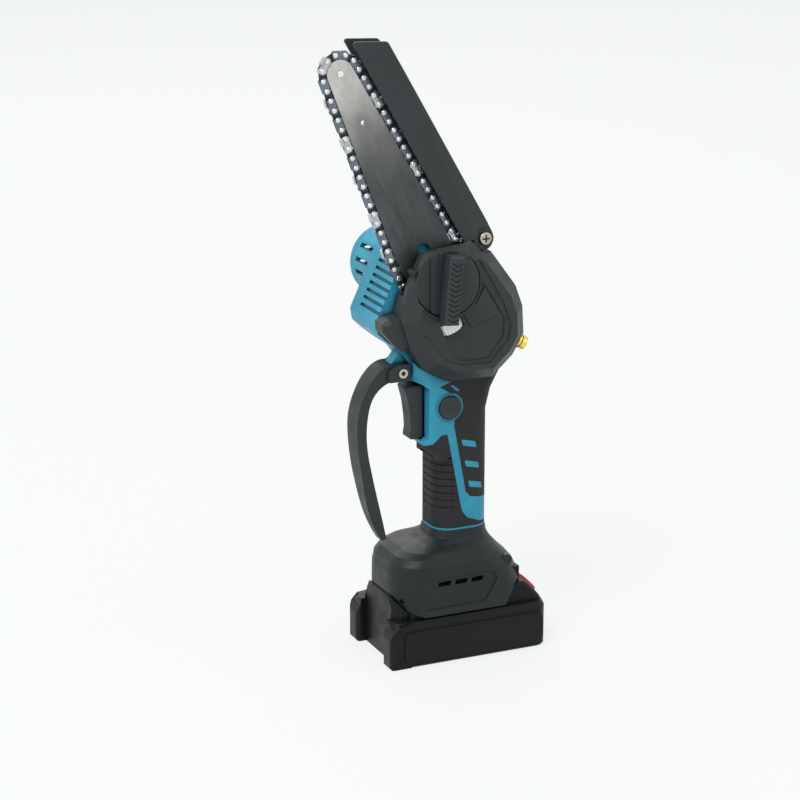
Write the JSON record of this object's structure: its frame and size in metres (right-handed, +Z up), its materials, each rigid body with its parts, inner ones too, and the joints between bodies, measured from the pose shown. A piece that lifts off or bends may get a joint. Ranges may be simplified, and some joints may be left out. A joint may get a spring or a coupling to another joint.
{
  "type": "cordless mini chainsaw",
  "caption": "One-hand cordless mini chainsaw with a short guide bar, chain, hinged bar guard, sprocket cover and knob, pistol grip, hand guard and slide-on battery pack.",
  "frame": {"origin": "centre of the battery pack's base, on the surface that the saw stands on", "axes": "+Z up, +X towards the back of the grip, -Y towards the side with the sprocket cover"},
  "size_m": [0.1509, 0.1052, 0.3962],
  "materials": {
    "blue_plastic": "satin moulded nylon, blue",
    "black_plastic": "fine-grained moulded nylon, black",
    "pack_plastic": "satin moulded plastic, black",
    "grip_rubber": "soft overmould, black",
    "white_plastic": "white acetal",
    "red_plastic": "red moulded plastic",
    "bar_steel": "dark-coated spring steel, worn to bare metal",
    "chain_steel": "bright and blued chain steel",
    "screw_steel": "zinc-plated steel",
    "gear_steel": "hardened steel",
    "spring_steel": "spring steel wire",
    "plate_aluminium": "die-cast aluminium",
    "brass": "turned brass",
    "magnet": "sintered magnet",
    "copper": "copper",
    "cell_jacket": "shrink sleeve over a steel cell",
    "board": "glass-fibre board"
  },
  "bodies": {
    "body": {"brass_plug": "brass", "button_springs": "spring_steel", "chain_drive_links": "chain_steel", "chain_far_cutters": "chain_steel", "chain_near_cutters": "chain_steel", "chain_rivets": "chain_steel", "chain_tie_straps": "chain_steel", "gear_plate": "plate_aluminium", "guard_screw": "screw_steel", "hand_guard": "black_plastic", "hand_guard_screws": "screw_steel", "housing_screws": "screw_steel", "idler_pin": "gear_steel", "left_foot": "black_plastic", "left_grip": "grip_rubber", "left_housing": "blue_plastic", "lock_stud": "screw_steel", "motor_can": "gear_steel", "motor_cap": "blue_plastic", "motor_contacts": "brass", "motor_end_bell": "black_plastic", "motor_magnets": "magnet", "right_foot": "black_plastic", "right_grip": "grip_rubber", "right_housing": "blue_plastic", "shaft_bearings": "gear_steel", "side_cover": "black_plastic", "terminal_blades": "brass", "terminal_block": "black_plastic", "trigger_spring": "spring_steel", "trigger_switch": "black_plastic", "wiring": "grip_rubber"},
    "output": {"drive_gear": "gear_steel", "output_shaft": "gear_steel", "sprocket": "gear_steel", "sprocket_clip": "screw_steel"},
    "idler": {"idler_gear": "gear_steel"},
    "rotor": {"motor_pinion": "gear_steel", "rotor_shaft": "gear_steel", "rotor_core": "gear_steel", "rotor_windings": "copper"},
    "trigger_lever": {"trigger": "black_plastic"},
    "lock": {"lock_button": "black_plastic"},
    "knob": {"cover_knob": "black_plastic", "knob_nut": "brass"},
    "tensioner": {"tension_wheel": "white_plastic", "tension_screw": "screw_steel"},
    "bar": {"guide_bar": "bar_steel", "nose_rivet": "chain_steel", "tension_block": "screw_steel"},
    "guard": {"bar_guard": "black_plastic"},
    "battery": {"battery_lower_case": "pack_plastic", "battery_upper_case": "pack_plastic", "battery_cells": "cell_jacket", "cell_straps": "plate_aluminium", "battery_board": "board", "battery_terminals": "brass", "battery_screws": "screw_steel", "release_spring": "spring_steel"},
    "release": {"release_button": "red_plastic"}
  },
  "joints": [
    {"name": "output_spin", "type": "hinge", "parent": "body", "child": "output", "pos_m": [0.0033, -0.012, 0.2053], "axis": [0, 1, 0], "continuous": true, "deforming": ["chain_drive_links"]},
    {"name": "idler_spin", "type": "hinge", "parent": "body", "child": "idler", "pos_m": [0.00092, 0, 0.24022], "axis": [0, 1, 0], "continuous": true},
    {"name": "rotor_spin", "type": "hinge", "parent": "body", "child": "rotor", "pos_m": [-0.019, 0, 0.242], "axis": [0, 1, 0], "continuous": true},
    {"name": "trigger_pull", "type": "slide", "parent": "body", "child": "trigger_lever", "axis": [1, 0, 0], "range_m": [0, 0.007], "stiffness_N_per_m": 900, "springref_m": -0.003, "deforming": ["trigger_spring"]},
    {"name": "lock_push", "type": "slide", "parent": "body", "child": "lock", "axis": [0, 1, 0], "range_m": [-0.0024, 0.0024], "stiffness_N_per_m": 1500, "deforming": ["button_springs"]},
    {"name": "knob_turn", "type": "hinge", "parent": "body", "child": "knob", "pos_m": [-0.01675, -0.03, 0.2467], "axis": [0, 1, 0], "range_deg": [0, 720]},
    {"name": "tension_turn", "type": "hinge", "parent": "body", "child": "tensioner", "pos_m": [-0.01352, -0.0237, 0.21938], "axis": [-0.4359, 0, 0.9], "range_deg": [0, 2060]},
    {"name": "bar_slide", "type": "slide", "parent": "body", "child": "bar", "axis": [0.4359, 0, -0.9], "range_m": [0, 0.004]},
    {"name": "guard_swing", "type": "hinge", "parent": "body", "child": "guard", "pos_m": [0.0133, -0.012, 0.2697], "axis": [0, 1, 0], "range_deg": [0, 55]},
    {"name": "battery_slide", "type": "slide", "parent": "body", "child": "battery", "axis": [1, 0, 0], "range_m": [0, 0.084]},
    {"name": "release_press", "type": "slide", "parent": "battery", "child": "release", "axis": [0, 0, -1], "range_m": [0, 0.003], "stiffness_N_per_m": 1500, "deforming": ["release_spring"]}
  ],
  "couplings": [
    {"joint": "idler_spin", "follows": "output_spin", "ratio": -1.5},
    {"joint": "rotor_spin", "follows": "output_spin", "ratio": 3.5},
    {"joint": "tension_turn", "follows": "bar_slide", "rad_per_m": 8976}
  ]
}
